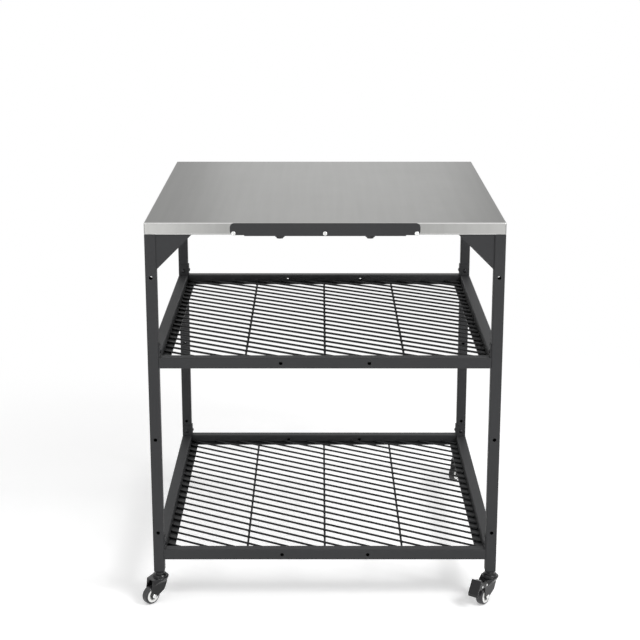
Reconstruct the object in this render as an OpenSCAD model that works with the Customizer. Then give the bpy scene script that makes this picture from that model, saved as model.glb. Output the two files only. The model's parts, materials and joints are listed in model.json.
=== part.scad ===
// Outdoor oven table on casters: a stainless worktop pan on a square-tube frame,
// with two wire shelves and an accessory rail along the front edge.
// Millimetres, +Z up. The origin is on the floor, under the middle of the worktop.
// The front faces -Y.

/* [Worktop] */
// Width of the worktop along X
table_w = 800; // [700:10:1000]
// Depth of the worktop along Y
table_d = 800; // [700:10:1000]
// Height of the worktop above the floor
table_h = 910; // [880:5:960]
// Thickness of the worktop sheet
top_sheet = 1.5; // [1:0.1:2]
// Outside radius of the bends along the worktop's edges
top_bend = 3; // [2.2:0.1:4]
// Distance from the middle of the worktop to each inner brace
brace_x = 140; // [128:1:250]

/* [Square tube] */
// Width of the square tube of the legs, rails and top frame
tube_w = 25; // [25:0.5:28]
// Wall of the square tube
tube_wall = 1.5; // [1.2:0.1:2]
// Outside corner radius of the square tube
tube_r = 2.5; // [2.2:0.1:3]
// Height of the upper accessory hole through each leg
leg_hole_high = 784; // [760:1:790]
// Height of the middle accessory hole through each leg
leg_hole_mid = 402; // [300:1:500]
// Height of the lower accessory hole through each leg
leg_hole_low = 173; // [170:1:220]
// Diameter of the accessory holes in legs and shelf rails
accessory_hole_d = 8.5; // [6:0.5:10]

/* [Shelves] */
// Height of the underside of the upper shelf's rails
upper_shelf_z = 573; // [520:1:600]
// Height of the underside of the lower shelf's rails
lower_shelf_z = 106; // [100:1:125]
// Spacing of the two accessory holes in each front and rear rail
rail_hole_spacing = 200; // [100:5:400]
// Width of the flat ledges that carry the wires
ledge_w = 20; // [12:1:30]
// Thickness of the ledges
ledge_t = 3; // [2:0.5:4]
// Height of the ledges above the underside of the rails
ledge_up = 4; // [3:0.5:8]
// Diameter of the shelf wires
wire_d = 5; // [3:0.5:5.5]
// Distance between neighbouring wires, across them
wire_pitch = 32; // [20:1:60]
// Angle of the wires to the table's width
wire_angle = 30; // [15:1:45]
// Distance of the middle wire behind the middle of the shelf
wire_shift = 10; // [0:1:36]
// Spacing of the support wires under each shelf
support_spacing = 183; // [120:1:220]

/* [Cleats and gussets] */
// Height of the angle cleats that fasten the shelves to the legs
cleat_h = 29; // [24:1:40]
// Width of each face of a cleat
cleat_w = 24; // [18:1:24]
// Thickness of the cleats
cleat_t = 2.5; // [2:0.1:3]
// Height of a cleat's bolts above the top of the rails
cleat_bolt_up = 13; // [8:1:16]
// Length of each edge of a gusset
gusset_l = 80; // [50:1:95]
// Thickness of the gussets
gusset_t = 2.5; // [2:0.1:3]
// Depth of a gusset's flanges
gusset_flange = 18; // [17:1:20]
// Distance of a gusset behind the outer face of its leg
gusset_inset = 3; // [2:0.5:4]

/* [Fasteners] */
// Thread diameter of the shelf bolts, gusset screws and thumb screws
thread_d = 6; // [5:0.5:6]
// Head diameter of the shelf bolts and gusset screws
bolt_head_d = 11; // [9:0.5:12]
// Head height of the shelf bolts and gusset screws
bolt_head_h = 3.3; // [2.5:0.1:4]
// Width across the corners of the hexagon sockets
socket_d = 4.6; // [3:0.1:5]
// Outside diameter of the threaded inserts in the tube walls
insert_d = 9; // [8:0.5:9.5]
// Length of the threaded inserts
insert_l = 7; // [5:0.5:7]

/* [Accessory rail] */
// Length of the rail along the worktop's front edge
rail_l = 420; // [300:5:600]
// Height of the rail, from the underside of its flange to the top of its face
rail_h = 29; // [26:0.5:29.5]
// Thickness of the rail's sheet
rail_t = 2; // [1.5:0.1:3]
// Corner radius of the rail's face
rail_corner_r = 10; // [4:0.5:12]
// Distance of the flange's ends from the rail's ends
rail_flange_inset = 31.5; // [20:0.5:60]
// Depth of the rail's flange under the worktop
rail_flange_d = 24; // [20:1:24]
// Head diameter of the hanging pegs
peg_d = 10; // [8:0.5:11]
// Distance of the end pegs from the rail's ends
peg_inset = 8; // [6:0.5:20]
// Height of the pegs above the rail's underside
peg_up = 6.5; // [6:0.1:14]
// Spacing of the two thumb screws
thumb_spacing = 200; // [100:5:220]
// Diameter of the thumb screws' grooved knobs
knob_d = 21; // [18:0.5:22]
// Height of the thumb screws' knobs
knob_h = 7; // [6:0.5:12]
// Diameter of the narrower foot of a knob
knob_foot_d = 15; // [12:0.5:17]
// Height of that foot
knob_foot_h = 3; // [2:0.5:5]

/* [Casters] */
// Height of a caster from the floor to the leg
caster_h = 76; // [74:0.5:80]
// Diameter of the wheels
wheel_d = 42; // [40:0.5:44]
// Width of the wheels
wheel_w = 17; // [15:0.5:18]
// Diameter of the white hub inside the tyre
hub_d = 32; // [30:0.5:34]
// Width of the hub's rim, from the tyre to the recess
hub_rim = 5.5; // [4:0.1:7]
// Horizontal distance from the swivel axis to the wheel's axle
caster_trail = 28; // [26:0.5:29]
// Diameter of the threaded stem and swivel pin
stem_d = 10; // [8:0.5:12]
// Diameter of the axle bolts
axle_d = 6; // [5:0.5:7]
// Diameter of the axle bolts' domed heads
axle_head_d = 10.4; // [9:0.1:11]
// Width of the axle bolts' nuts across their corners
axle_nut_d = 11.5; // [10:0.5:13]
// Height of the axle bolts' heads and nuts
axle_head_h = 4; // [3:0.1:4.5]
// Depth of the recess in each side of a hub
hub_recess = 4; // [2:0.5:5]
// Radius of the tyres' shoulders
tyre_shoulder = 4; // [2:0.5:4.5]
// Thickness of the fork's sheet
fork_t = 1.8; // [1.5:0.1:2.2]
// Radius of a cheek's lower end, round the axle
cheek_tip_r = 8; // [7:0.5:9]
// Radius of a cheek's rear edge, below the heel
cheek_rear_r = 10.5; // [9:0.5:12]
// Distance of that rounding's middle below the bridge plate
cheek_rear_down = 25; // [22:1:28]
// Distance of that rounding's middle in front of the swivel axis
cheek_rear_ahead = 4; // [2:0.5:6]
// Height of the fork's bridge plate above the floor
fork_h = 61; // [59.5:0.5:62]
// Diameter of the fork's round heel plate
heel_d = 41; // [38:0.5:43]
// Height over which the fork's cap draws in from the heel plate to the cheeks
cap_h = 15; // [12:1:18]
// Diameter of the bearing dome on the fork
dome_d = 35; // [30:0.5:37]
// Height of that dome
dome_h = 7.5; // [6:0.5:9]
// Diameter of the neck between dome and leg
neck_d = 24; // [20:0.5:26]
// Thickness of the flange between swivel head and leg
stem_flange_h = 2.2; // [2:0.1:3]
// Diameter of that flange
stem_flange_d = 20; // [16:0.5:24]
// Diameter of the collar that holds the fork on its pin
collar_d = 16; // [14:0.5:20]
// Thickness of the collar
collar_h = 3; // [2:0.5:4]
// Length of the plug in the foot of each leg
plug_l = 28; // [20:1:29]
// Distance of the stem's top below the top of the plug
stem_short = 3; // [1:0.5:10]
// Direction that the front left caster points, seen from above
trail_front_left = 225; // [0:1:359]
// Direction that the front right caster points, seen from above
trail_front_right = 233; // [0:1:359]
// Direction that the rear left caster points, seen from above
trail_rear_left = 262; // [0:1:359]
// Direction that the rear right caster points, seen from above
trail_rear_right = 234; // [0:1:359]

/* [Brakes] */
// Distance of a pedal's pivot in front of the wheel's axle
pivot_ahead = 6.5; // [6:0.1:7.5]
// Distance of a pedal's pivot below the top of the fork
pivot_below = 7.5; // [7:0.1:8]
// Distance of the pedal's upper edge in front of its pivot
pedal_reach = 23.5; // [22:0.5:25]
// Height of the pedal's upper edge above its pivot
pedal_rise = 16; // [14:0.5:16]
// Length of the pedal's plate, from its upper edge to its lower bend
pedal_l = 33; // [31:1:38]
// Slope of the pedal's plate when released
pedal_slope = 62; // [58:1:66]
// Distance of the shoe's pin in front of the pedal's pivot
shoe_reach = 19.5; // [18:0.5:20]
// Length of the brake shoe, from its pin towards the tyre
shoe_l = 17.8; // [15:0.1:17.9]
// Thickness of the brake shoe
shoe_t = 6; // [4:0.5:7]
// Width of the brake shoe
shoe_w = 13.6; // [10:0.1:15]
// Diameter of the pedal's pins
brake_pin_d = 4; // [3:0.5:5]
// Thickness of the pedal's sheet
pedal_t = 1.6; // [1.2:0.1:2]

/* [Clearances] */
// Radial gap of pins and stems that turn in a bore
running_gap = 0.06; // [0.04:0.01:0.1]
// Radial gap of bolts that stand still in a plain hole
bolt_gap = 0.3; // [0.2:0.05:0.5]
// Gap between faces that move past each other
moving_gap = 0.4; // [0.3:0.05:0.6]
// Gap between a wheel and each cheek of its fork
wheel_gap = 0.7; // [0.4:0.05:1]

/* [Hidden] */

$fn = 32;
cut = 1;                                    // how far a cutter runs past a face

charcoal = "#3f4042";
steel = "#b9b9b6";
zinc = "#c8c8c6";
black = "#232324";
white = "#ededea";

front_left = [-1, -1];
front_right = [1, -1];
rear_left = [-1, 1];
rear_right = [1, 1];
corners = [front_left, front_right, rear_left, rear_right];

// Heights and faces of the frame
top_h = tube_w + 2 * top_sheet;             // depth of the worktop's skirt
leg_top = table_h - top_h;
leg_x = (table_w - tube_w) / 2;
leg_y = (table_d - tube_w) / 2;
inner_x = table_w / 2 - tube_w;             // faces of the legs and rails that look inwards
inner_y = table_d / 2 - tube_w;
lip_w = tube_w + top_sheet;                 // width of the skirt's return under the top frame
inner_bend = min(max(top_bend - top_sheet, 0.3), tube_r);
frame_z = table_h - top_sheet - tube_w / 2;
frame_x = table_w / 2 - top_sheet - tube_w / 2;
frame_y = table_d / 2 - top_sheet - tube_w / 2;

// Heights within a shelf, above the underside of its rails
ledge_top = ledge_up + ledge_t;
wire_up = ledge_top + wire_d / 2;
support_up = wire_up - wire_d;
cleat_bolt_z = tube_w + cleat_bolt_up;
shelves = [upper_shelf_z, lower_shelf_z];

// Places of the gusset screws, from the corner where leg and worktop meet
gusset_screw = gusset_l * 0.55;
bolt_l = insert_l + 0.5;                    // how far a bolt reaches into its tube
strip_gap = 0.2;                            // joint between neighbouring ledges

// Underside of the accessory rail's flange and place of its thumb screws
rail_z = leg_top - rail_t;
thumb_y = -leg_y;
peg_z = rail_z + peg_up;
peg_x = rail_l / 2 - peg_inset;
rail_flange_l = rail_l - 2 * rail_flange_inset;

// Casters, in a frame whose origin is on the floor under the swivel axis, with +X towards the wheel
wheel_r = wheel_d / 2;
cheek_in = wheel_w / 2 + wheel_gap;
cheek_out = cheek_in + fork_t;
cheek_edge = 1;                             // depth of the cap's lower edge
fork_nose = caster_trail + 2.5;             // front edge of the bridge plate, just past the axle
head_top = caster_h - stem_flange_h - moving_gap;

// Brake pedal in the same frame, as points in X and Z
shoe_pin_up = 1.5;                          // how far the shoe's pin is above the pedal's pivot
pedal_bend = [-1, -6.3];                    // the lip below the pedal's lower bend
lug_wall = 3;
lug_r = brake_pin_d / 2 + lug_wall;         // the cheeks' lugs round the pedal's pivot
pedal_pivot = [caster_trail + pivot_ahead, fork_h - pivot_below];
shoe_pin = pedal_pivot + [shoe_reach, shoe_pin_up];
pedal_top = pedal_pivot + [pedal_reach, pedal_rise];
pedal_foot = pedal_top + pedal_l * [cos(pedal_slope), -sin(pedal_slope)];
pedal_lip = pedal_foot + pedal_bend;
ear_in = cheek_out + moving_gap;
pedal_w = 2 * (ear_in + pedal_t);

// ---------- Shapes shared by several pieces ----------

module rounded_square(w, r) {
    square([w, w - 2 * r], center = true);
    square([w - 2 * r, w], center = true);
    for (x = [-1, 1], y = [-1, 1])
        translate([x * (w / 2 - r), y * (w / 2 - r)])
            circle(r);
}

// A square tube along Z that starts at z = 0
module tube(length) {
    linear_extrude(length)
        difference() {
            rounded_square(tube_w, tube_r);
            rounded_square(tube_w - 2 * tube_wall, max(tube_r - tube_wall, 0.3));
        }
}

module tube_along_x(length) {
    rotate([0, 90, 0])
        translate([0, 0, -length / 2])
            tube(length);
}

module tube_along_y(length) {
    rotate([90, 0, 0])
        translate([0, 0, -length / 2])
            tube(length);
}

module hole_along_y(d, length) {
    rotate([90, 0, 0])
        cylinder(d = d, h = length, center = true);
}

// A box with all its edges rounded, centred in X and Y, from z = 0 up
module rounded_box(size, r) {
    x = size[0] / 2 - r;
    y = size[1] / 2 - r;
    h = size[2];
    translate([-x, -y, 0])
        cube([2 * x, 2 * y, h]);
    translate([-x - r, -y, r])
        cube([2 * (x + r), 2 * y, h - 2 * r]);
    translate([-x, -y - r, r])
        cube([2 * x, 2 * (y + r), h - 2 * r]);
    for (z = [r, h - r]) {
        for (side = [-1, 1]) {
            translate([-x, side * y, z])
                rotate([0, 90, 0])
                    cylinder(r = r, h = 2 * x);
            translate([side * x, -y, z])
                rotate([-90, 0, 0])
                    cylinder(r = r, h = 2 * y);
        }
        for (c = corners)
            translate([c[0] * x, c[1] * y, z])
                sphere(r);
    }
    for (c = corners)
        translate([c[0] * x, c[1] * y, r])
            cylinder(r = r, h = h - 2 * r);
}

// Puts a shape drawn at the rear right corner at any corner
module at_corner(corner) {
    mirror([corner[0] < 0 ? 1 : 0, 0, 0])
        mirror([0, corner[1] < 0 ? 1 : 0, 0])
            children();
}

// The two places where a cleat is bolted to its leg, with +Z into the leg
module at_cleat_bolts(shelf_z) {
    translate([inner_x, leg_y, shelf_z + cleat_bolt_z])
        rotate([0, 90, 0])
            children();
    translate([leg_x, inner_y, shelf_z + cleat_bolt_z])
        rotate([-90, 0, 0])
            children();
}

module at_gusset_leg_screw() {
    translate([inner_x, leg_y, leg_top - gusset_screw])
        rotate([0, 90, 0])
            children();
}

module at_gusset_top_screw() {
    translate([inner_x - gusset_screw, leg_y, leg_top])
        children();
}

module at_thumb_screws() {
    for (side = [-1, 1])
        translate([side * thumb_spacing / 2, thumb_y, leg_top])
            children();
}

// A dome-headed bolt with a hexagon socket. Its head sits on z = 0 and its shank goes to +Z.
module bolt(shank) {
    head_r = bolt_head_d / 2;
    dome_r = (pow(head_r, 2) + pow(bolt_head_h, 2)) / (2 * bolt_head_h);
    socket_h = bolt_head_h * 0.6;
    difference() {
        union() {
            cylinder(d = thread_d, h = shank);
            rotate_extrude()
                intersection() {
                    translate([0, -bolt_head_h])
                        square([head_r, bolt_head_h]);
                    translate([0, dome_r - bolt_head_h])
                        circle(dome_r, $fn = 96);
                }
        }
        translate([0, 0, -bolt_head_h - cut])
            cylinder(d = socket_d, h = socket_h + cut, $fn = 6);
    }
}

module insert() {
    difference() {
        cylinder(d = insert_d, h = insert_l);
        translate([0, 0, -cut])
            cylinder(d = thread_d + 2 * running_gap, h = insert_l + 2 * cut);
    }
}

module insert_seat() {
    translate([0, 0, -cut])
        cylinder(d = insert_d, h = tube_wall + 2 * cut);
}

// ---------- Worktop ----------

module tabletop() {
    inner = [table_w - 2 * top_sheet, table_d - 2 * top_sheet, tube_w];
    color(steel)
        difference() {
            translate([0, 0, leg_top])
                rounded_box([table_w, table_d, top_h], top_bend);
            translate([0, 0, leg_top + top_sheet])
                rounded_box(inner, inner_bend);
            translate([-table_w / 2 + lip_w, -table_d / 2 + lip_w, leg_top - cut])
                cube([table_w - 2 * lip_w, table_d - 2 * lip_w, top_sheet + 2 * cut]);
            for (c = corners)
                at_corner(c)
                    at_gusset_top_screw()
                        cylinder(d = thread_d + 2 * bolt_gap, h = 2 * (top_sheet + cut), center = true);
            at_thumb_screws()
                cylinder(d = thread_d + 2 * bolt_gap, h = 2 * (top_sheet + cut), center = true);
        }
}

// A front (side = -1) or rear (side = 1) tube of the frame inside the worktop.
// Its ends stop short of the bends in the sheet.
module top_tube_across(side) {
    color(charcoal)
        difference() {
            translate([0, side * frame_y, frame_z])
                tube_along_x(table_w - 2 * (top_sheet + inner_bend));
            translate([0, 0, top_sheet]) {
                for (c = corners)
                    at_corner(c)
                        at_gusset_top_screw()
                            insert_seat();
                at_thumb_screws()
                    insert_seat();
            }
        }
}

// Tubes from the front tube to the rear tube, at the given places
module top_tubes_along(places) {
    color(charcoal)
        for (x = places)
            translate([x, 0, frame_z])
                tube_along_y(table_d - 2 * top_sheet - 2 * tube_w);
}

module top_frame_front() top_tube_across(-1);
module top_frame_rear() top_tube_across(1);
module top_frame_left() top_tubes_along([-frame_x]);
module top_frame_right() top_tubes_along([frame_x]);
module top_braces() top_tubes_along([-brace_x, brace_x]);

// ---------- Legs ----------

module leg(corner) {
    color(charcoal)
        difference() {
            translate([corner[0] * leg_x, corner[1] * leg_y, caster_h])
                tube(leg_top - caster_h);
            for (z = [leg_hole_low, leg_hole_mid, leg_hole_high])
                translate([corner[0] * leg_x, corner[1] * leg_y, z])
                    hole_along_y(accessory_hole_d, tube_w + 2 * cut);
            at_corner(corner) {
                for (z = shelves)
                    at_cleat_bolts(z)
                        insert_seat();
                at_gusset_leg_screw()
                    insert_seat();
            }
        }
}

module leg_front_left() leg(front_left);
module leg_front_right() leg(front_right);
module leg_rear_left() leg(rear_left);
module leg_rear_right() leg(rear_right);

// ---------- Shelves ----------

// A front (side = -1) or rear (side = 1) rail with its two accessory holes
module cross_rail(side, shelf_z) {
    color(charcoal)
        translate([0, side * leg_y, shelf_z + tube_w / 2])
            difference() {
                tube_along_x(2 * inner_x);
                for (x = [-1, 1])
                    translate([x * rail_hole_spacing / 2, 0, 0])
                        hole_along_y(accessory_hole_d, tube_w + 2 * cut);
            }
}

// A left (side = -1) or right (side = 1) rail
module side_rail(side, shelf_z) {
    color(charcoal)
        translate([side * leg_x, 0, shelf_z + tube_w / 2])
            tube_along_y(2 * inner_y);
}

module upper_rail_front() cross_rail(-1, upper_shelf_z);
module upper_rail_rear() cross_rail(1, upper_shelf_z);
module upper_rail_left() side_rail(-1, upper_shelf_z);
module upper_rail_right() side_rail(1, upper_shelf_z);
module lower_rail_front() cross_rail(-1, lower_shelf_z);
module lower_rail_rear() cross_rail(1, lower_shelf_z);
module lower_rail_left() side_rail(-1, lower_shelf_z);
module lower_rail_right() side_rail(1, lower_shelf_z);

// Four flat strips along the inner faces of the rails
module ledges(shelf_z) {
    long_strip = 2 * inner_x;
    short_strip = 2 * (inner_y - ledge_w - strip_gap);
    color(charcoal)
        for (side = [-1, 1])
            translate([0, 0, shelf_z + ledge_up + ledge_t / 2]) {
                translate([0, side * (inner_y - ledge_w / 2), 0])
                    cube([long_strip, ledge_w, ledge_t], center = true);
                translate([side * (inner_x - ledge_w / 2), 0, 0])
                    cube([ledge_w, short_strip, ledge_t], center = true);
            }
}

module upper_ledges() ledges(upper_shelf_z);
module lower_ledges() ledges(lower_shelf_z);

// Slanted wires from rail to rail. Each line is y = y0 - x * tan(wire_angle), clipped to the shelf.
module wires(shelf_z) {
    slope = tan(wire_angle);
    step = wire_pitch / cos(wire_angle);
    half_x = inner_x - wire_d / 2;
    half_y = inner_y - wire_d / 2;
    count = floor((half_y + slope * half_x) / step);
    shortest = 2 * ledge_w;
    color(charcoal)
        for (i = [-count : count]) {
            y0 = i * step + wire_shift;
            x_start = max(-half_x, (y0 - half_y) / slope);
            x_end = min(half_x, (y0 + half_y) / slope);
            if (x_end - x_start > shortest)
                translate([x_start, y0 - x_start * slope, shelf_z + wire_up])
                    rotate([0, 90, -wire_angle])
                        cylinder(d = wire_d, h = (x_end - x_start) / cos(wire_angle));
        }
}

module upper_wires() wires(upper_shelf_z);
module lower_wires() wires(lower_shelf_z);

// Three wires from front ledge to rear ledge, under the slanted ones
module supports(shelf_z) {
    color(charcoal)
        for (i = [-1 : 1])
            translate([i * support_spacing, 0, shelf_z + support_up])
                rotate([90, 0, 0])
                    cylinder(d = wire_d, h = 2 * (inner_y - ledge_w), center = true);
}

module upper_supports() supports(upper_shelf_z);
module lower_supports() supports(lower_shelf_z);

// An angle that stands on two rails and wraps round the leg's inner corner
module cleat(shelf_z) {
    difference() {
        translate([inner_x - cleat_t, inner_y - cleat_t, shelf_z + tube_w]) {
            cube([cleat_t, cleat_w, cleat_h]);
            cube([cleat_w, cleat_t, cleat_h]);
        }
        at_cleat_bolts(shelf_z)
            translate([0, 0, -cleat_t - cut])
                cylinder(d = thread_d + 2 * bolt_gap, h = cleat_t + 2 * cut);
    }
}

module shelf_cleats() {
    color(charcoal)
        for (c = corners, z = shelves)
            at_corner(c)
                cleat(z);
}

module cleat_bolts() {
    color(zinc)
        for (c = corners, z = shelves)
            at_corner(c)
                at_cleat_bolts(z)
                    translate([0, 0, -cleat_t])
                        bolt(cleat_t + bolt_l);
}

module thread_inserts() {
    color(zinc) {
        for (c = corners)
            at_corner(c) {
                for (z = shelves)
                    at_cleat_bolts(z)
                        insert();
                at_gusset_leg_screw()
                    insert();
                translate([0, 0, top_sheet])
                    at_gusset_top_screw()
                        insert();
            }
        translate([0, 0, top_sheet])
            at_thumb_screws()
                insert();
    }
}

// ---------- Gussets ----------

// A triangular plate between leg and worktop, with a flange against each
module gusset() {
    plate_y = table_d / 2 - gusset_inset - gusset_t;
    flange_y = table_d / 2 - gusset_inset - gusset_flange;
    difference() {
        union() {
            translate([inner_x, plate_y + gusset_t, leg_top])
                rotate([90, 0, 0])
                    linear_extrude(gusset_t)
                        polygon([[0, 0], [-gusset_l, 0], [0, -gusset_l]]);
            translate([inner_x - gusset_t, flange_y, leg_top - gusset_l + gusset_t])
                cube([gusset_t, gusset_flange, gusset_l - gusset_t]);
            translate([inner_x - gusset_l + gusset_t, flange_y, leg_top - gusset_t])
                cube([gusset_l - gusset_t, gusset_flange, gusset_t]);
        }
        at_gusset_leg_screw()
            cylinder(d = thread_d + 2 * bolt_gap, h = 2 * (gusset_t + cut), center = true);
        at_gusset_top_screw()
            cylinder(d = thread_d + 2 * bolt_gap, h = 2 * (gusset_t + cut), center = true);
    }
}

module gusset_front_left() color(charcoal) at_corner(front_left) gusset();
module gusset_front_right() color(charcoal) at_corner(front_right) gusset();
module gusset_rear_left() color(charcoal) at_corner(rear_left) gusset();
module gusset_rear_right() color(charcoal) at_corner(rear_right) gusset();

module gusset_screws() {
    color(zinc)
        for (c = corners)
            at_corner(c) {
                at_gusset_leg_screw()
                    translate([0, 0, -gusset_t])
                        bolt(gusset_t + bolt_l);
                at_gusset_top_screw()
                    translate([0, 0, -gusset_t])
                        bolt(gusset_t + top_sheet + bolt_l);
            }
}

// ---------- Accessory rail ----------

module at_pegs() {
    for (i = [-1 : 1])
        translate([i * peg_x, -table_d / 2, peg_z])
            rotate([90, 0, 0])
                children();
}

module accessory_rail() {
    color(charcoal)
        difference() {
            union() {
                translate([0, -table_d / 2, leg_top])
                    rotate([90, 0, 0])
                        linear_extrude(rail_t)
                            rail_face();
                translate([-rail_flange_l / 2, -table_d / 2 - rail_t, rail_z])
                    cube([rail_flange_l, rail_t + rail_flange_d, rail_t]);
            }
            at_thumb_screws()
                cylinder(d = thread_d + 2 * bolt_gap, h = 2 * (rail_t + cut), center = true);
            at_pegs()
                translate([0, 0, -cut])
                    cylinder(d = peg_d / 2, h = rail_t + 2 * cut);
        }
}

// The rail's face in X and Z. It starts at the top of the flange.
module rail_face() {
    face_h = rail_h - rail_t;
    translate([-rail_l / 2, rail_corner_r])
        square([rail_l, face_h - 2 * rail_corner_r]);
    translate([-rail_l / 2 + rail_corner_r, 0])
        square([rail_l - 2 * rail_corner_r, face_h]);
    for (x = [-1, 1], z = [rail_corner_r, face_h - rail_corner_r])
        translate([x * (rail_l / 2 - rail_corner_r), z])
            circle(rail_corner_r);
}

// Button-headed pegs riveted through the rail's face
module rail_pegs() {
    head_h = peg_d * 0.45;
    edge = peg_d * 0.15;
    color(zinc)
        at_pegs() {
            cylinder(d = peg_d / 2, h = rail_t);
            translate([0, 0, rail_t])
                rotate_extrude() {
                    square([peg_d / 2, head_h - edge]);
                    square([peg_d / 2 - edge, head_h]);
                    translate([peg_d / 2 - edge, head_h - edge])
                        circle(edge);
                }
        }
}

// A knob with finger grooves below the rail's flange, and a stud up into the top frame
module thumb_screw(side) {
    groove_count = 12;
    groove_d = 3;
    knob_top = rail_z - moving_gap;
    stud_top = leg_top + top_sheet + insert_l;
    color(black)
        translate([side * thumb_spacing / 2, thumb_y, 0]) {
            translate([0, 0, knob_top - knob_h])
                difference() {
                    union() {
                        cylinder(d = knob_foot_d, h = knob_h);
                        translate([0, 0, knob_foot_h])
                            cylinder(d = knob_d, h = knob_h - knob_foot_h);
                    }
                    for (i = [0 : groove_count - 1])
                        rotate(i * 360 / groove_count)
                            translate([knob_d / 2 + groove_d / 5, 0, -cut])
                                cylinder(d = groove_d, h = knob_h + 2 * cut);
                }
            translate([0, 0, knob_top - cut])
                cylinder(d = thread_d, h = stud_top - knob_top + cut);
        }
}

module thumb_screw_left() thumb_screw(-1);
module thumb_screw_right() thumb_screw(1);

// ---------- Casters ----------

module at_caster(corner, direction) {
    translate([corner[0] * leg_x, corner[1] * leg_y, 0])
        rotate(direction)
            children();
}

// The axle's place in a caster, with +Z along the axle
module at_axle() {
    translate([caster_trail, 0, wheel_r])
        rotate([-90, 0, 0])
            children();
}

// A cheek or ear drawn in X and Z, of the given thickness, starting at y = from on both sides
module both_sides(from, thickness) {
    for (side = [0, 1])
        mirror([0, side, 0])
            translate([0, from + thickness, 0])
                rotate([90, 0, 0])
                    linear_extrude(thickness)
                        children();
}

// A plug with a threaded bore in the foot of each leg
module leg_plugs() {
    plug_w = tube_w - 2 * tube_wall;
    color(black)
        for (c = corners)
            translate([c[0] * leg_x, c[1] * leg_y, caster_h])
                difference() {
                    linear_extrude(plug_l)
                        rounded_square(plug_w, max(tube_r - tube_wall, 0.3));
                    translate([0, 0, -cut])
                        cylinder(d = stem_d + 2 * running_gap, h = plug_l + 2 * cut);
                }
}

// Threaded stem, flange under the leg, swivel pin and the riveted collar that holds the fork
module caster_stems() {
    collar_top = fork_h - fork_t - moving_gap;
    collar_z = collar_top - collar_h;
    stem_top = caster_h + plug_l - stem_short;
    color(zinc)
        for (c = corners)
            translate([c[0] * leg_x, c[1] * leg_y, 0]) {
                translate([0, 0, collar_z]) {
                    cylinder(d = stem_d, h = stem_top - collar_z);
                    cylinder(d = collar_d, h = collar_h);
                }
                translate([0, 0, caster_h - stem_flange_h])
                    cylinder(d = stem_flange_d, h = stem_flange_h);
            }
}

// The cap over a fork: a plate, round at the heel and narrow at the nose, that draws in to the
// cheeks. The inside of the cap is the same shape, a sheet's thickness smaller.
module fork_cap(inset, past_nose) {
    half_w = cheek_out - inset;
    hull() {
        translate([0, 0, fork_h - fork_t - inset])
            cylinder(r = heel_d / 2 - inset, h = fork_t, $fn = 48);
        translate([0, -half_w, fork_h - fork_t - inset])
            cube([fork_nose + past_nose, 2 * half_w, fork_t]);
        translate([inset - heel_d / 4, -half_w, fork_h - cap_h])
            cube([fork_nose + heel_d / 4 - inset + past_nose, 2 * half_w, cheek_edge]);
    }
}

// A pressed fork: two cheeks under a cap that carries the bearing dome
module caster_fork(corner, direction, braked) {
    back = heel_d * 0.3;
    color(black)
        at_caster(corner, direction)
            difference() {
                union() {
                    both_sides(cheek_in, fork_t)
                        hull() {
                            translate([caster_trail, wheel_r])
                                circle(cheek_tip_r);
                            translate([cheek_rear_ahead, fork_h - cheek_rear_down])
                                circle(cheek_rear_r);
                            translate([-back, fork_h - cap_h])
                                square([fork_nose + back, cap_h / 2]);
                            if (braked)
                                translate(pedal_pivot)
                                    circle(lug_r);
                        }
                    fork_cap(0, 0);
                    bearing_dome();
                }
                fork_cap(fork_t, cut);
                cylinder(d = stem_d + 2 * running_gap, h = caster_h);
                at_axle()
                    cylinder(d = axle_d, h = 2 * (cheek_out + cut), center = true);
                if (braked)
                    translate([pedal_pivot[0], 0, pedal_pivot[1]])
                        hole_along_y(brake_pin_d + 2 * running_gap, 2 * (cheek_out + cut));
            }
}

// The heel plate, the dome over the swivel bearing and the neck under the leg
module bearing_dome() {
    dome_r = dome_d / 2;
    neck_r = neck_d / 2;
    rotate_extrude($fn = 48)
        polygon([
            [0, fork_h - fork_t], [heel_d / 2, fork_h - fork_t], [heel_d / 2, fork_h],
            [dome_r, fork_h], [dome_r - dome_h * 0.07, fork_h + dome_h * 0.47],
            [dome_r - dome_h * 0.27, fork_h + dome_h * 0.73],
            [neck_r + dome_h * 0.2, fork_h + dome_h * 0.87],
            [neck_r, fork_h + dome_h], [neck_r, head_top], [0, head_top]
        ]);
}

module fork_front_left() caster_fork(front_left, trail_front_left, false);
module fork_front_right() caster_fork(front_right, trail_front_right, true);
module fork_rear_left() caster_fork(rear_left, trail_rear_left, true);
module fork_rear_right() caster_fork(rear_right, trail_rear_right, false);

// Axle bolt with a domed head on one side and a nut on the other
module axle(corner, direction) {
    head_r = axle_head_d / 2;
    head_edge = axle_head_h * 0.4;
    color(zinc)
        at_caster(corner, direction)
            at_axle() {
                cylinder(d = axle_d, h = 2 * cheek_out, center = true);
                translate([0, 0, cheek_out])
                    rotate_extrude() {
                        square([head_r, axle_head_h - head_edge]);
                        square([head_r - head_edge, axle_head_h]);
                        translate([head_r - head_edge, axle_head_h - head_edge])
                            circle(head_edge);
                    }
                translate([0, 0, -cheek_out - axle_head_h])
                    cylinder(d = axle_nut_d, h = axle_head_h, $fn = 6);
            }
}

module axle_front_left() axle(front_left, trail_front_left);
module axle_front_right() axle(front_right, trail_front_right);
module axle_rear_left() axle(rear_left, trail_rear_left);
module axle_rear_right() axle(rear_right, trail_rear_right);

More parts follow.
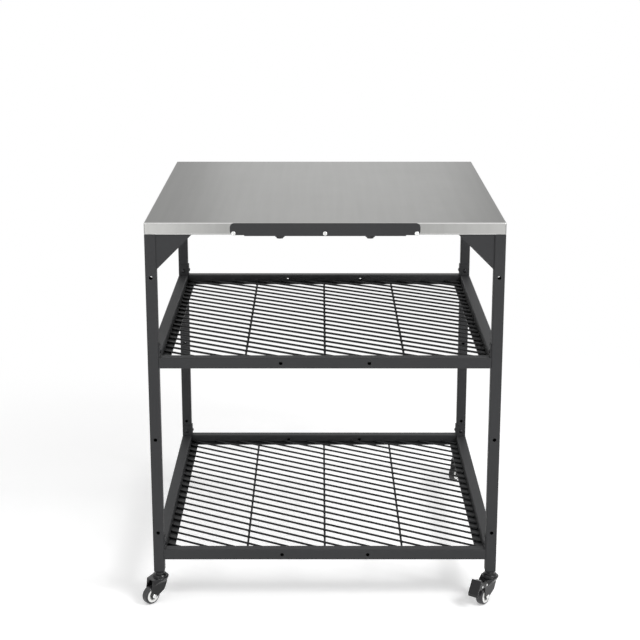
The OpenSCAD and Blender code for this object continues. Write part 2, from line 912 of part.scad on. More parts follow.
// White hub with a recess round its boss on both sides
module hub(corner, direction) {
    boss_r = axle_d / 2 + 2.5;
    rim_in = hub_d / 2 - hub_rim;
    half_w = wheel_w / 2;
    color(white)
        at_caster(corner, direction)
            at_axle()
                difference() {
                    cylinder(d = hub_d, h = wheel_w, center = true);
                    for (side = [0, 1])
                        mirror([0, 0, side])
                            translate([0, 0, half_w - hub_recess])
                                difference() {
                                    cylinder(r = rim_in, h = hub_recess + cut);
                                    translate([0, 0, -cut])
                                        cylinder(r = boss_r, h = hub_recess + 3 * cut);
                                }
                    cylinder(d = axle_d + 2 * running_gap, h = wheel_w + 2 * cut, center = true);
                }
}

module hub_front_left() hub(front_left, trail_front_left);
module hub_front_right() hub(front_right, trail_front_right);
module hub_rear_left() hub(rear_left, trail_rear_left);
module hub_rear_right() hub(rear_right, trail_rear_right);

// Rubber tyre with rounded shoulders
module tyre(corner, direction) {
    half_w = wheel_w / 2;
    color(black)
        at_caster(corner, direction)
            at_axle()
                rotate_extrude($fn = 64)
                    difference() {
                        union() {
                            translate([0, -half_w])
                                square([wheel_r - tyre_shoulder, wheel_w]);
                            translate([0, tyre_shoulder - half_w])
                                square([wheel_r, wheel_w - 2 * tyre_shoulder]);
                            for (side = [-1, 1])
                                translate([wheel_r - tyre_shoulder, side * (half_w - tyre_shoulder)])
                                    circle(tyre_shoulder);
                        }
                        translate([-cut, -half_w - cut])
                            square([hub_d / 2 + cut, wheel_w + 2 * cut]);
                    }
}

module tyre_front_left() tyre(front_left, trail_front_left);
module tyre_front_right() tyre(front_right, trail_front_right);
module tyre_rear_left() tyre(rear_left, trail_rear_left);
module tyre_rear_right() tyre(rear_right, trail_rear_right);

// ---------- Brakes ----------

// A strip of sheet with round ends, seen from its edge
module strip(from, to, thickness) {
    hull() {
        translate(from)
            circle(d = thickness);
        translate(to)
            circle(d = thickness);
    }
}

// A pedal plate and a web on two ears, with a shoe that presses on the tyre when the pedal goes down
module brake_pedal(corner, direction) {
    plate_run = pedal_foot - pedal_top;
    web_end = pedal_pivot + [1.5, lug_r + moving_gap + pedal_t / 2 + 0.6];
    ear_r = 4.5;
    boss_d = brake_pin_d + 3;
    shoe_angle = atan2(shoe_pin[1] - wheel_r, shoe_pin[0] - caster_trail);
    color(black)
        at_caster(corner, direction)
            difference() {
                union() {
                    translate([0, pedal_w / 2, 0])
                        rotate([90, 0, 0])
                            linear_extrude(pedal_w) {
                                strip(pedal_top, pedal_foot, pedal_t);
                                strip(pedal_foot, pedal_lip, pedal_t);
                                strip(pedal_top + plate_run * 0.12, web_end, pedal_t);
                            }
                    both_sides(ear_in, pedal_t)
                        hull() {
                            translate(pedal_pivot)
                                circle(ear_r);
                            translate(pedal_top + plate_run * 0.2)
                                circle(d = pedal_t);
                            translate(pedal_top + plate_run * 0.65)
                                circle(d = pedal_t);
                        }
                    translate([shoe_pin[0], 0, shoe_pin[1]]) {
                        hole_along_y(boss_d, pedal_w - pedal_t);
                        rotate([0, -shoe_angle, 0])
                            translate([-shoe_l, -shoe_w / 2, -shoe_t / 2])
                                cube([shoe_l, shoe_w, shoe_t]);
                    }
                }
                for (p = [pedal_pivot, shoe_pin])
                    translate([p[0], 0, p[1]])
                        hole_along_y(brake_pin_d, pedal_w + 2 * cut);
            }
}

module brake_pedal_front_right() brake_pedal(front_right, trail_front_right);
module brake_pedal_rear_left() brake_pedal(rear_left, trail_rear_left);

// The pivot pin and the shoe's pin, each with a riveted head on both ends
module brake_pins(corner, direction) {
    head_h = 1;
    head_d = brake_pin_d + 1;
    color(zinc)
        at_caster(corner, direction)
            for (p = [pedal_pivot, shoe_pin])
                translate([p[0], 0, p[1]]) {
                    hole_along_y(brake_pin_d, pedal_w);
                    for (side = [-1, 1])
                        translate([0, side * (pedal_w + head_h) / 2, 0])
                            hole_along_y(head_d, head_h);
                }
}

module brake_pins_front_right() brake_pins(front_right, trail_front_right);
module brake_pins_rear_left() brake_pins(rear_left, trail_rear_left);

tabletop();
top_frame_front();
top_frame_rear();
top_frame_left();
top_frame_right();
top_braces();
leg_front_left();
leg_front_right();
leg_rear_left();
leg_rear_right();
upper_rail_front();
upper_rail_rear();
upper_rail_left();
upper_rail_right();
lower_rail_front();
lower_rail_rear();
lower_rail_left();
lower_rail_right();
upper_ledges();
lower_ledges();
upper_wires();
lower_wires();
upper_supports();
lower_supports();
shelf_cleats();
cleat_bolts();
thread_inserts();
gusset_front_left();
gusset_front_right();
gusset_rear_left();
gusset_rear_right();
gusset_screws();
accessory_rail();
rail_pegs();
thumb_screw_left();
thumb_screw_right();
leg_plugs();
caster_stems();
fork_front_left();
fork_front_right();
fork_rear_left();
fork_rear_right();
axle_front_left();
axle_front_right();
axle_rear_left();
axle_rear_right();
hub_front_left();
hub_front_right();
hub_rear_left();
hub_rear_right();
tyre_front_left();
tyre_front_right();
tyre_rear_left();
tyre_rear_right();
brake_pedal_front_right();
brake_pedal_rear_left();
brake_pins_front_right();
brake_pins_rear_left();
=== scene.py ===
import json
import math
import bpy
import numpy as np
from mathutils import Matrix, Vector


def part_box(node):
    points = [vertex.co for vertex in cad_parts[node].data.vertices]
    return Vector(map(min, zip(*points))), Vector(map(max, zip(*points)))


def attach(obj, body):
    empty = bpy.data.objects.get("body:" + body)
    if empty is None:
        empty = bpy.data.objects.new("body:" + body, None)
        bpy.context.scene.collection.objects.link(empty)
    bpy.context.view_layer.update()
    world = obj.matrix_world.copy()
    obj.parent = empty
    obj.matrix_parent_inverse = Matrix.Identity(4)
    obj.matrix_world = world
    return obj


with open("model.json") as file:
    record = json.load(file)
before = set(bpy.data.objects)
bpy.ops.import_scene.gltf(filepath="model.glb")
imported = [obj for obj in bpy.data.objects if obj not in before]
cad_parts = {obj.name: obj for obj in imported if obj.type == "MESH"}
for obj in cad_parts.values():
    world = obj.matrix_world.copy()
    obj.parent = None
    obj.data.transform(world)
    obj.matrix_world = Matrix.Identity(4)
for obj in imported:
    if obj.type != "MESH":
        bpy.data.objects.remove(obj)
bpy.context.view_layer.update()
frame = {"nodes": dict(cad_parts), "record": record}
cadNodes = frame["nodes"]
print("frame loaded:", len(cadNodes), "nodes")


def addNode(tree, kind, inputs=None, **settings):
    node = tree.nodes.new(kind)
    for name, value in settings.items():
        setattr(node, name, value)
    for name, value in (inputs or {}).items():
        node.inputs[name].default_value = value
    return node


def mathNode(tree, operation, first, second=None, third=None, clamp=False):
    node = addNode(tree, "ShaderNodeMath", operation=operation, use_clamp=clamp)
    for slot, value in enumerate((first, second, third)):
        if isinstance(value, (int, float)):
            node.inputs[slot].default_value = value
        elif value is not None:
            tree.links.new(value, node.inputs[slot])
    return node.outputs[0]


def objectPlace(tree):
    return addNode(tree, "ShaderNodeTexCoord").outputs["Object"]


def noiseNode(tree, place, scale, detail=2.0, roughness=0.5):
    node = addNode(tree, "ShaderNodeTexNoise", {"Detail": detail, "Roughness": roughness})
    tree.links.new(place, node.inputs["Vector"])
    if isinstance(scale, (int, float)):
        node.inputs["Scale"].default_value = scale
    else:
        tree.links.new(scale, node.inputs["Scale"])
    return node.outputs[0]


def splitNode(tree, vector):
    node = addNode(tree, "ShaderNodeSeparateXYZ")
    tree.links.new(vector, node.inputs[0])
    return node.outputs


def normalHeight(tree):  # z of the surface's normal: 1 on faces that look up, 0 on upright ones
    return splitNode(tree, addNode(tree, "ShaderNodeNewGeometry").outputs["Normal"])["Z"]


def joinNode(tree, x, y):
    node = addNode(tree, "ShaderNodeCombineXYZ")
    tree.links.new(x, node.inputs[0])
    tree.links.new(y, node.inputs[1])
    return node.outputs[0]


def newGroup(name, numbersIn, numbersOut, vectorsOut=()):
    tree = bpy.data.node_groups.new(name, "ShaderNodeTree")
    for label, value in numbersIn.items():
        socket = tree.interface.new_socket(label, in_out="INPUT", socket_type="NodeSocketFloat")
        socket.default_value = value
    for label in numbersOut:
        tree.interface.new_socket(label, in_out="OUTPUT", socket_type="NodeSocketFloat")
    for label in vectorsOut:
        tree.interface.new_socket(label, in_out="OUTPUT", socket_type="NodeSocketVector")
    return tree, tree.nodes.new("NodeGroupInput").outputs, tree.nodes.new("NodeGroupOutput").inputs


# Fine bumps of a sprayed or moulded skin, and a broad unevenness about 0.1 m wide
def makeSkinGrain():
    tree, given, result = newGroup("skinGrain", {"Size mm": 1.0, "Detail": 3.0}, ["Height", "Patches"])
    place = objectPlace(tree)
    fine = addNode(tree, "ShaderNodeTexNoise", {"Roughness": 0.55})
    tree.links.new(place, fine.inputs["Vector"])
    tree.links.new(mathNode(tree, "DIVIDE", 1000.0, given["Size mm"]), fine.inputs["Scale"])
    tree.links.new(given["Detail"], fine.inputs["Detail"])
    tree.links.new(fine.outputs[0], result["Height"])
    tree.links.new(noiseNode(tree, place, scale=9.0), result["Patches"])
    return tree


# Long scratches of brushed sheet. They run front to back on the top, and on down the front and rear skirts.
def makeBrushedGrain():
    numbers = {"Lines per mm": 1.2, "Length mm": 60.0}
    tree, given, result = newGroup("brushedGrain", numbers, ["Lines", "Bands"])
    spot = splitNode(tree, objectPlace(tree))
    facing = splitNode(tree, addNode(tree, "ShaderNodeNewGeometry").outputs["Normal"])

    def pick(direction, whenSet, otherwise):
        turnedTo = mathNode(tree, "ABSOLUTE", facing[direction])
        mask = mathNode(tree, "GREATER_THAN", turnedTo, 0.7)  # within 45 degrees of that axis
        node = addNode(tree, "ShaderNodeMix", data_type="FLOAT")
        for slot, value in enumerate((mask, None, otherwise, whenSet)):
            if value is not None:
                tree.links.new(value, node.inputs[slot])
        return node.outputs[0]

    linesPerMetre = mathNode(tree, "MULTIPLY", given["Lines per mm"], 1000.0)
    lengthMetres = mathNode(tree, "MULTIPLY", given["Length mm"], 0.001)
    across = mathNode(tree, "MULTIPLY", pick("X", spot["Z"], spot["X"]), linesPerMetre)
    along = mathNode(tree, "DIVIDE", pick("Y", spot["Z"], spot["Y"]), lengthMetres)
    lines = noiseNode(tree, joinNode(tree, across, along), scale=1.0, detail=4.0, roughness=0.6)
    tree.links.new(lines, result["Lines"])
    bandAcross = mathNode(tree, "MULTIPLY", across, 0.05)  # a band is 20 lines wide and 8 lines long
    bandAlong = mathNode(tree, "MULTIPLY", along, 0.12)
    tree.links.new(noiseNode(tree, joinNode(tree, bandAcross, bandAlong), scale=1.0), result["Bands"])
    return tree


# Worn is 1 on outer edges and 0 on the faces: on the coats it is wear, where a coat is thin and rubbed, and
# on the brushed steel it is a painted highlight. Normal rounds the edges.
# Worn = 6 (1 - face . rounded) (2 speckle - Breakup), with the last factor and the whole kept within 0 and 1
def makeEdgeWearAndHighlight():
    tree, given, result = newGroup("edgeWearAndHighlight", {"Reach mm": 0.8, "Breakup": 0.5}, ["Worn"], ["Normal"])
    rounded = addNode(tree, "ShaderNodeBevel", samples=4)
    tree.links.new(mathNode(tree, "MULTIPLY", given["Reach mm"], 0.001), rounded.inputs["Radius"])
    same = addNode(tree, "ShaderNodeVectorMath", operation="DOT_PRODUCT")
    tree.links.new(rounded.outputs[0], same.inputs[0])
    tree.links.new(addNode(tree, "ShaderNodeNewGeometry").outputs["Normal"], same.inputs[1])
    turned = mathNode(tree, "SUBTRACT", 1.0, same.outputs["Value"], clamp=True)
    onEdges = mathNode(tree, "MULTIPLY", turned, 6.0)  # 1 where the rounded normal leans by 34 degrees
    speckle = noiseNode(tree, objectPlace(tree), scale=120.0, detail=4.0)
    patchy = mathNode(tree, "SUBTRACT", speckle, mathNode(tree, "MULTIPLY", given["Breakup"], 0.5))
    rubbedThrough = mathNode(tree, "MULTIPLY", patchy, 2.0, clamp=True)
    tree.links.new(mathNode(tree, "MULTIPLY", onEdges, rubbedThrough, clamp=True), result["Worn"])
    tree.links.new(rounded.outputs[0], result["Normal"])
    return tree


# Settled is how much fine dust lies here: up ** 2 * 2 (patches - Least), with the height of the normal as up
def makeDust():
    tree, given, result = newGroup("settledDust", {"Patch mm": 60.0, "Least": 0.35}, ["Settled"])
    up = mathNode(tree, "MAXIMUM", normalHeight(tree), 0.0)
    patchesPerMetre = mathNode(tree, "DIVIDE", 1000.0, given["Patch mm"])
    patches = noiseNode(tree, objectPlace(tree), patchesPerMetre, detail=5.0, roughness=0.65)
    thick = mathNode(tree, "SUBTRACT", patches, given["Least"], clamp=True)
    thick = mathNode(tree, "MULTIPLY", thick, 2.0, clamp=True)
    tree.links.new(mathNode(tree, "MULTIPLY", mathNode(tree, "POWER", up, 2.0), thick), result["Settled"])
    return tree


skinGrain = makeSkinGrain()
brushedGrain = makeBrushedGrain()
edgeWearAndHighlight = makeEdgeWearAndHighlight()
settledDust = makeDust()
print("shader groups ready")


def useGroup(tree, group, **values):
    node = addNode(tree, "ShaderNodeGroup", node_tree=group)
    for label, value in values.items():
        node.inputs[label.replace("_", " ")].default_value = value
    return node.outputs


# first and second are colours or the outputs of other nodes
def blendColours(tree, factor, first, second):
    node = addNode(tree, "ShaderNodeMix", data_type="RGBA")
    for slot, colour in ((6, first), (7, second)):
        if isinstance(colour, tuple):
            node.inputs[slot].default_value = (*colour, 1)
        else:
            tree.links.new(colour, node.inputs[slot])
    tree.links.new(factor, node.inputs[0])
    return node.outputs[2]


def newMaterial(name, **constants):
    material = bpy.data.materials.new(name)
    material.use_nodes = True
    tree = material.node_tree
    shader = tree.nodes["Principled BSDF"]
    for label, value in constants.items():
        shader.inputs[label.replace("_", " ")].default_value = value
    return material, tree, shader.inputs


def spread(tree, factor, low, high):  # low where the factor is 0, high where it is 1
    return mathNode(tree, "MULTIPLY_ADD", factor, high - low, low)


def weighed(tree, first, share, second):  # the share of the first value, and the rest of the second
    return mathNode(tree, "MULTIPLY_ADD", first, share, mathNode(tree, "MULTIPLY", second, 1.0 - share))


def dusted(tree, face, settled, finish):
    return blendColours(tree, mathNode(tree, "MULTIPLY", settled, finish["dusty"]), face, finish["dust"])


def bumpNode(tree, height, depthMm, normal=None, strength=0.5):
    node = addNode(tree, "ShaderNodeBump", {"Strength": strength, "Distance": depthMm * 0.001})
    tree.links.new(height, node.inputs["Height"])
    if normal is not None:
        tree.links.new(normal, node.inputs["Normal"])
    return node.outputs[0]


# Sprayed and baked powder: a faint orange-peel skin, lighter on rubbed edges, a trace of dust on top
def powderCoat(name, finish):
    material, tree, shader = newMaterial(name, Specular_IOR_Level=finish["gloss"])
    grain = useGroup(tree, skinGrain, Size_mm=finish["grainMm"], Detail=3.0)
    edgeMask = useGroup(tree, edgeWearAndHighlight, Reach_mm=finish["edgeMm"], Breakup=0.7)
    dust = useGroup(tree, settledDust, Patch_mm=45.0, Least=0.35)
    tone = weighed(tree, grain["Patches"], 0.6, grain["Height"])
    face = dusted(tree, blendColours(tree, tone, finish["face"], finish["patch"]), dust["Settled"], finish)
    tree.links.new(blendColours(tree, edgeMask["Worn"], face, finish["rubbed"]), shader["Base Color"])
    tree.links.new(spread(tree, grain["Height"], *finish["rough"]), shader["Roughness"])
    tree.links.new(bumpNode(tree, grain["Height"], finish["bumpMm"], edgeMask["Normal"]), shader["Normal"])
    return material


def brushedSteel(name, finish):
    material, tree, shader = newMaterial(name, Metallic=1.0, Specular_Tint=finish["grazing"])
    brush = useGroup(tree, brushedGrain, Lines_per_mm=1.2, Length_mm=60.0)
    edgeMask = useGroup(tree, edgeWearAndHighlight, Reach_mm=finish["edgeMm"], Breakup=0.2)
    smear = useGroup(tree, skinGrain, Size_mm=140.0, Detail=4.0)
    tone = weighed(tree, brush["Bands"], 0.55, brush["Lines"])
    face = blendColours(tree, tone, finish["dark"], finish["light"])
    # Painted highlight along the fold: 4 |z| (1 - |z|) of the normal is 0 on flat faces and 1 in the bend
    level = mathNode(tree, "ABSOLUTE", normalHeight(tree))
    bend = mathNode(tree, "MULTIPLY", level, mathNode(tree, "SUBTRACT", 1.0, level))
    paintedFoldHighlight = mathNode(tree, "MULTIPLY", bend, 4.0 * finish["foldHighlight"], clamp=True)
    # Painted highlight: the steel's edges and its fold are lightened towards the edge colour
    wearAndPaintedHighlight = mathNode(tree, "MAXIMUM", edgeMask["Worn"], paintedFoldHighlight)
    tree.links.new(blendColours(tree, wearAndPaintedHighlight, face, finish["edge"]), shader["Base Color"])
    hazy = weighed(tree, smear["Height"], 0.4, brush["Lines"])
    tree.links.new(spread(tree, hazy, *finish["rough"]), shader["Roughness"])
    bumps = bumpNode(tree, brush["Lines"], finish["bumpMm"], edgeMask["Normal"], strength=0.35)
    tree.links.new(bumps, shader["Normal"])
    return material


def metalSkin(name, finish):
    material, tree, shader = newMaterial(name, Metallic=1.0)
    grain = useGroup(tree, skinGrain, Size_mm=finish["grainMm"], Detail=2.0)
    edgeMask = useGroup(tree, edgeWearAndHighlight, Reach_mm=0.3, Breakup=0.4)
    face = blendColours(tree, grain["Height"], finish["dark"], finish["light"])
    tree.links.new(blendColours(tree, edgeMask["Worn"], face, finish["rubbed"]), shader["Base Color"])
    tree.links.new(spread(tree, grain["Patches"], *finish["rough"]), shader["Roughness"])
    bumps = bumpNode(tree, grain["Height"], finish["bumpMm"], edgeMask["Normal"], strength=0.3)
    tree.links.new(bumps, shader["Normal"])
    return material


def mouldedSkin(name, finish, **constants):
    material, tree, shader = newMaterial(name, **constants)
    grain = useGroup(tree, skinGrain, Size_mm=finish["grainMm"], Detail=2.0)
    edgeMask = useGroup(tree, edgeWearAndHighlight, Reach_mm=0.4, Breakup=0.6)
    dust = useGroup(tree, settledDust, Patch_mm=12.0, Least=0.3)
    face = blendColours(tree, grain["Patches"], finish["dark"], finish["light"])
    tree.links.new(dusted(tree, face, dust["Settled"], finish), shader["Base Color"])
    tree.links.new(spread(tree, grain["Height"], *finish["rough"]), shader["Roughness"])
    bumps = bumpNode(tree, grain["Height"], finish["bumpMm"], edgeMask["Normal"], strength=0.4)
    tree.links.new(bumps, shader["Normal"])
    return material


coats = {
    "frame": {"face": (0.031, 0.0315, 0.033), "patch": (0.043, 0.0435, 0.045),
              "rubbed": (0.085, 0.086, 0.089), "gloss": 0.15, "rough": (0.46, 0.60),
              "grainMm": 0.9, "bumpMm": 0.05, "edgeMm": 0.9, "dusty": 0.004, "dust": (0.30, 0.29, 0.27)},
    # The shelves get a much darker copy of the frame's charcoal coat: painted shade inside the shelves
    "shelf": {"face": (0.004, 0.0042, 0.005), "patch": (0.008, 0.0083, 0.009),
              "rubbed": (0.030, 0.031, 0.033), "gloss": 0.3, "rough": (0.42, 0.55),
              "grainMm": 0.7, "bumpMm": 0.03, "edgeMm": 0.4, "dusty": 0.002, "dust": (0.30, 0.29, 0.27)},
    "caster": {"face": (0.005, 0.005, 0.0055), "patch": (0.010, 0.010, 0.011),
               "rubbed": (0.060, 0.060, 0.062), "gloss": 0.32, "rough": (0.08, 0.15),
               "grainMm": 0.6, "bumpMm": 0.006, "edgeMm": 3.0, "dusty": 0.02, "dust": (0.30, 0.29, 0.27)},
}
steels = {
    # The sheet's edge colour and fold strength set a painted highlight on its edges and fold
    "sheet": {"dark": (0.26, 0.26, 0.252), "light": (0.35, 0.35, 0.342), "edge": (0.82, 0.82, 0.81),
              "grazing": (0.60, 0.60, 0.60, 1), "edgeMm": 1.8, "foldHighlight": 0.7,
              "rough": (0.24, 0.36), "bumpMm": 0.01},
    "zinc": {"dark": (0.68, 0.69, 0.69), "light": (0.82, 0.82, 0.81), "rubbed": (0.90, 0.90, 0.89),
             "rough": (0.14, 0.26), "grainMm": 1.5, "bumpMm": 0.01},
    "blackOxide": {"dark": (0.030, 0.030, 0.032), "light": (0.055, 0.055, 0.058),
                   "rubbed": (0.22, 0.22, 0.22), "rough": (0.24, 0.36), "grainMm": 0.5, "bumpMm": 0.01},
}
plastics = {
    "nylon": {"dark": (0.80, 0.80, 0.78), "light": (0.87, 0.87, 0.86), "rough": (0.22, 0.32),
              "grainMm": 0.8, "bumpMm": 0.01, "dusty": 0.10, "dust": (0.34, 0.33, 0.31)},
    "black": {"dark": (0.010, 0.010, 0.011), "light": (0.016, 0.016, 0.017), "rough": (0.40, 0.55),
              "grainMm": 0.5, "bumpMm": 0.03, "dusty": 0.03, "dust": (0.34, 0.33, 0.31)},
    "rubber": {"dark": (0.016, 0.016, 0.018), "light": (0.026, 0.026, 0.028), "rough": (0.26, 0.36),
               "grainMm": 0.6, "bumpMm": 0.02, "dusty": 0.03, "dust": (0.34, 0.33, 0.31)},
}
finishes = {
    "stainless": brushedSteel("brushedStainless", steels["sheet"]),
    "charcoal_paint": powderCoat("charcoalPowderCoat", coats["frame"]),
    "black_paint": powderCoat("glossBlackPaint", coats["caster"]),
    "zinc": metalSkin("brightZinc", steels["zinc"]),
    "white_plastic": mouldedSkin("whiteNylon", plastics["nylon"]),
    "black_plastic": mouldedSkin("blackPlastic", plastics["black"]),
    "tyre": mouldedSkin("greyRubber", plastics["rubber"]),
}
# Painted shade: a darker copy of the powder coat for the shelf wires, supports, ledges and their welds
shadedShelfCoat = powderCoat("shelfPowderCoatPaintedShade", coats["shelf"])
blackOxide = metalSkin("blackOxideSteel", steels["blackOxide"])
shelfPieces = ("wires", "supports", "ledges")
ownFinish = {f"{shelf}_{piece}": shadedShelfCoat for shelf in ("upper", "lower") for piece in shelfPieces}
ownFinish.update({node: blackOxide for node in ("cleat_bolts", "gusset_screws", "caster_stems")})

for part in frame["record"]["subparts"]:
    for slot in cadNodes[part["node"]].material_slots:
        slot.material = ownFinish.get(part["node"], finishes[part["material_slot"]])


# The wires are the lines y = shift + i * pitch / cos(slant) - x * tan(slant), for whole numbers i.
# size and footSize are half lengths of a weld: along the wire, across it and up.
wireWelds = {
    "slant": math.radians(30), "pitch": 0.032, "shift": 0.010, "most": 40,
    "supports": (-0.183, 0.0, 0.183), "ledge": 0.020,
    "size": (0.0040, 0.0031, 0.0013), "footSize": (0.0034, 0.0030, 0.0022),
    "around": 8, "rings": 3,
}


# Where the slanted wires cross the supports and the ledges of a shelf, as rows of x and y
def wireCrossings(size, halfX, halfY):
    slope = math.tan(size["slant"])
    step = size["pitch"] / math.cos(size["slant"])
    lines = size["shift"] + step * np.arange(-size["most"], size["most"] + 1)  # y of each wire at x = 0
    edgeY = halfY - size["ledge"]
    middleX, middleY = halfX - size["ledge"] / 2, halfY - size["ledge"] / 2  # middle of the ledges
    columns = np.array(size["supports"] + (-middleX, middleX))
    x, y0 = np.meshgrid(columns, lines)
    onColumns = np.stack([x.ravel(), (y0 - slope * x).ravel()], 1)
    y, y0 = np.meshgrid((-middleY, middleY), lines)
    onRows = np.stack([((y0 - y) / slope).ravel(), y.ravel()], 1)
    onColumns = onColumns[np.abs(onColumns[:, 1]) < edgeY]
    onRows = onRows[np.abs(onRows[:, 0]) < halfX]
    return np.concatenate([onColumns, onRows])


# A spot weld is a squashed ball: centre + (a cos u sin v, b sin u sin v, c cos v), turned along its wire
def spotWelds(name, centres, half, turn, size):
    around, rings = size["around"], size["rings"]
    u = np.tile(2 * np.pi * np.arange(around) / around, rings)
    v = np.repeat(np.pi * np.arange(1, rings + 1) / (rings + 1), around)
    ball = np.stack([np.cos(u) * np.sin(v), np.sin(u) * np.sin(v), np.cos(v)], 1)
    ball = np.concatenate([ball, [[0, 0, 1], [0, 0, -1]]]) * half
    plan = np.array([[math.cos(turn), math.sin(turn), 0], [-math.sin(turn), math.cos(turn), 0], [0, 0, 1]])
    points = (centres[:, None, :] + (ball @ plan)[None]).reshape(-1, 3)
    start = np.arange(rings - 1)[:, None] * around
    here, following = np.arange(around), (np.arange(around) + 1) % around
    below = start + around
    quads = np.stack([start + here, below + here, below + following, start + following], -1).reshape(-1, 4)
    top, last = rings * around, (rings - 1) * around
    caps = np.concatenate([np.stack([np.full(around, top), here, following], 1),
                           np.stack([np.full(around, top + 1), last + following, last + here], 1)])
    shift = (np.arange(len(centres)) * len(ball))[:, None, None]
    faces = (quads + shift).reshape(-1, 4).tolist() + (caps + shift).reshape(-1, 3).tolist()
    mesh = bpy.data.meshes.new(name)
    mesh.from_pydata(points.tolist(), [], faces)
    mesh.shade_smooth()
    mesh.materials.append(shadedShelfCoat)
    welds = bpy.data.objects.new(name, mesh)
    bpy.context.scene.collection.objects.link(welds)
    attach(welds, "table")
    return welds


for shelf in ("upper", "lower"):
    halfX, halfY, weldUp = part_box(f"{shelf}_ledges")[1]
    crossings = wireCrossings(wireWelds, halfX, halfY)
    centres = np.column_stack([crossings, np.full(len(crossings), weldUp)])
    spotWelds(f"{shelf}WireWelds", centres, wireWelds["size"], -wireWelds["slant"], wireWelds)
    footUp = (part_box(f"{shelf}_supports")[0][2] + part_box(f"{shelf}_supports")[1][2]) / 2
    footY = halfY - wireWelds["ledge"]
    feet = [(x, y, footUp) for x in wireWelds["supports"] for y in (-footY, footY)]
    spotWelds(f"{shelf}SupportWelds", np.array(feet), wireWelds["footSize"], 0.0, wireWelds)
    print(shelf, "shelf:", len(centres), "wire welds")


studio = {
    "floorHalf": 60.0, "floorSteps": 41,
    "floorWhite": (0.8, 1.9),  # the floor turns plain white between these distances from the middle
    "floorPaper": 0.97, "floorGlow": 0.26,  # grey of the floor as it is seen, and its own light
    "middleGlow": 0.18,  # further light of the floor in a soft square under the table
    "middle": (0.32, 0.47), "middleY": 0.17,  # the square's half widths, full and faded out, and its centre
    "floorBounce": 0.8, "ambient": 0.66,  # grey of the floor as it lights the table, and the room's light
    "lamps": [  # name, place, aim, size, watts
        ("keyLamp", (2.4, -2.2, 3.2), (0, 0, 0.5), 1.8, 68.0),
        ("fillLamp", (-2.0, -2.6, 2.0), (0, 0, 0.5), 2.2, 14.0),
        ("topLamp", (0.06, 2.1, 1.50), (0, 0, 0.9), 1.1, 1.8),
        ("glintLamp", (2.0, -1.6, 2.6), (0, 0, 0.1), 0.35, 8.0),
        ("leftCard", (-1.0, -2.5, 0.45), (-0.3, -0.4, 0.9), 0.9, 5.2),
        ("rightCard", (0.9, -2.5, 0.45), (0.3, -0.4, 0.9), 1.0, 3.2),
    ],
}


def seenWhole(tree):  # 1 for rays of the camera and for reflections, 0 for diffuse light
    rays = addNode(tree, "ShaderNodeLightPath").outputs
    bounced = mathNode(tree, "MAXIMUM", rays["Is Glossy Ray"], rays["Is Transmission Ray"])
    return mathNode(tree, "MAXIMUM", rays["Is Camera Ray"], bounced)


# Strength of the floor's own light, by max(|x|, |y - middleY|): more under the table, and even past it
def floorLight(tree, place, size):
    spot = splitNode(tree, place)
    aside = mathNode(tree, "ABSOLUTE", spot["X"])
    ahead = mathNode(tree, "ABSOLUTE", mathNode(tree, "SUBTRACT", spot["Y"], size["middleY"]))
    fadeStart, fadeEnd = size["middle"]
    fading = {"From Min": fadeStart, "From Max": fadeEnd}
    fading.update({"To Min": size["floorGlow"] + size["middleGlow"], "To Max": size["floorGlow"]})
    light = addNode(tree, "ShaderNodeMapRange", fading, interpolation_type="SMOOTHSTEP")
    tree.links.new(mathNode(tree, "MAXIMUM", aside, ahead), light.inputs["Value"])
    return light.outputs[0]


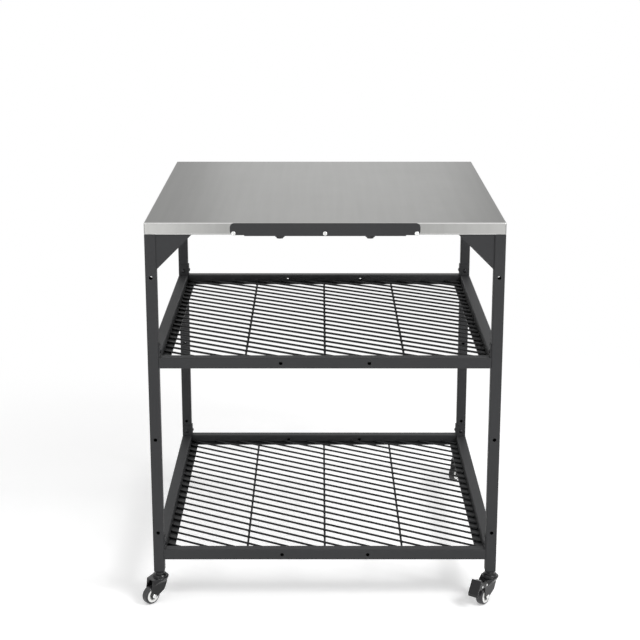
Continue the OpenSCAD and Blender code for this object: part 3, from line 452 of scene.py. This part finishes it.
# The floor is a grid at z = 0 with x and y = half * t * |t| for even steps of t, so its middle is finest
def layFloor(size):
    steps = size["floorSteps"]
    t = np.linspace(-1, 1, steps)
    x, y = np.meshgrid(size["floorHalf"] * t * np.abs(t), size["floorHalf"] * t * np.abs(t))
    points = np.stack([x.ravel(), y.ravel(), np.zeros(x.size)], 1)
    corner = (np.arange(steps - 1)[:, None] * steps + np.arange(steps - 1)).ravel()
    quads = np.stack([corner, corner + 1, corner + steps + 1, corner + steps], 1)
    mesh = bpy.data.meshes.new("studioFloor")
    mesh.from_pydata(points.tolist(), [], quads.tolist())
    floor = bpy.data.objects.new("studioFloor", mesh)
    bpy.context.scene.collection.objects.link(floor)
    material = bpy.data.materials.new("paleFloor")
    material.use_nodes = True
    tree = material.node_tree
    tree.nodes.clear()
    coords = addNode(tree, "ShaderNodeTexCoord")
    reach = addNode(tree, "ShaderNodeVectorMath", operation="LENGTH")
    tree.links.new(coords.outputs["Object"], reach.inputs[0])
    near, far = size["floorWhite"]
    away = addNode(tree, "ShaderNodeMapRange", {"From Min": near, "From Max": far})
    away.interpolation_type = "SMOOTHSTEP"
    tree.links.new(reach.outputs["Value"], away.inputs["Value"])
    soft = addNode(tree, "ShaderNodeBsdfDiffuse", {"Color": (size["floorBounce"],) * 3 + (1,)})
    paper = addNode(tree, "ShaderNodeBsdfDiffuse", {"Color": (size["floorPaper"],) * 3 + (1,)})
    glow = addNode(tree, "ShaderNodeEmission", {"Color": (1, 1, 1, 1)})
    tree.links.new(floorLight(tree, coords.outputs["Object"], size), glow.inputs["Strength"])
    shadowed = addNode(tree, "ShaderNodeAddShader")
    tree.links.new(paper.outputs[0], shadowed.inputs[0])
    tree.links.new(glow.outputs[0], shadowed.inputs[1])
    white = addNode(tree, "ShaderNodeEmission", {"Color": (1, 1, 1, 1), "Strength": 1.0})
    shown = addNode(tree, "ShaderNodeMixShader")
    tree.links.new(away.outputs[0], shown.inputs[0])
    tree.links.new(shadowed.outputs[0], shown.inputs[1])
    tree.links.new(white.outputs[0], shown.inputs[2])
    choice = addNode(tree, "ShaderNodeMixShader")
    tree.links.new(seenWhole(tree), choice.inputs[0])
    tree.links.new(soft.outputs[0], choice.inputs[1])
    tree.links.new(shown.outputs[0], choice.inputs[2])
    out = addNode(tree, "ShaderNodeOutputMaterial")
    tree.links.new(choice.outputs[0], out.inputs[0])
    mesh.materials.append(material)
    return floor


def hangLamps(size):
    for name, place, aim, width, watts in size["lamps"]:
        lamp = bpy.data.lights.new(name, "AREA")
        lamp.shape, lamp.size, lamp.energy = "DISK", width, watts
        holder = bpy.data.objects.new(name, lamp)
        bpy.context.scene.collection.objects.link(holder)
        holder.location = place
        holder.visible_camera = False  # the lamp lights, but isn't seen itself
        ahead = [a - b for a, b in zip(aim, place)]
        tilt = math.atan2(math.hypot(ahead[0], ahead[1]), -ahead[2])
        holder.rotation_euler = (tilt, 0, math.atan2(ahead[1], ahead[0]) - math.pi / 2)


# Diffuse rays get the room's plain light. The camera, reflections and glass see the white backdrop.
def lightWorld(size):
    world = bpy.data.worlds.new("studioWorld")
    bpy.context.scene.world = world
    world.use_nodes = True
    tree = world.node_tree
    tree.nodes.clear()
    room = addNode(tree, "ShaderNodeBackground", {"Color": (1, 1, 1, 1), "Strength": size["ambient"]})
    white = addNode(tree, "ShaderNodeBackground", {"Color": (1, 1, 1, 1), "Strength": 1.0})
    choice = addNode(tree, "ShaderNodeMixShader")
    tree.links.new(seenWhole(tree), choice.inputs[0])
    tree.links.new(room.outputs[0], choice.inputs[1])
    tree.links.new(white.outputs[0], choice.inputs[2])
    out = addNode(tree, "ShaderNodeOutputWorld")
    tree.links.new(choice.outputs[0], out.inputs[0])


camera = {"place": (-0.0113, -3.6372, 1.5961), "downDegrees": 14.46, "lens": 84.48, "shiftY": -0.05}


def setCamera(size):
    lens = bpy.data.cameras.new("viewCamera")
    lens.lens, lens.sensor_width, lens.shift_y = size["lens"], 36.0, size["shiftY"]
    lens.clip_end = 200.0
    holder = bpy.data.objects.new("viewCamera", lens)
    bpy.context.scene.collection.objects.link(holder)
    holder.location = size["place"]
    holder.rotation_euler = (math.radians(90 - size["downDegrees"]), 0, 0)
    bpy.context.scene.camera = holder


layFloor(studio)
hangLamps(studio)
lightWorld(studio)
setCamera(camera)
bpy.context.scene.view_settings.view_transform = "Standard"
print("studio and camera set")
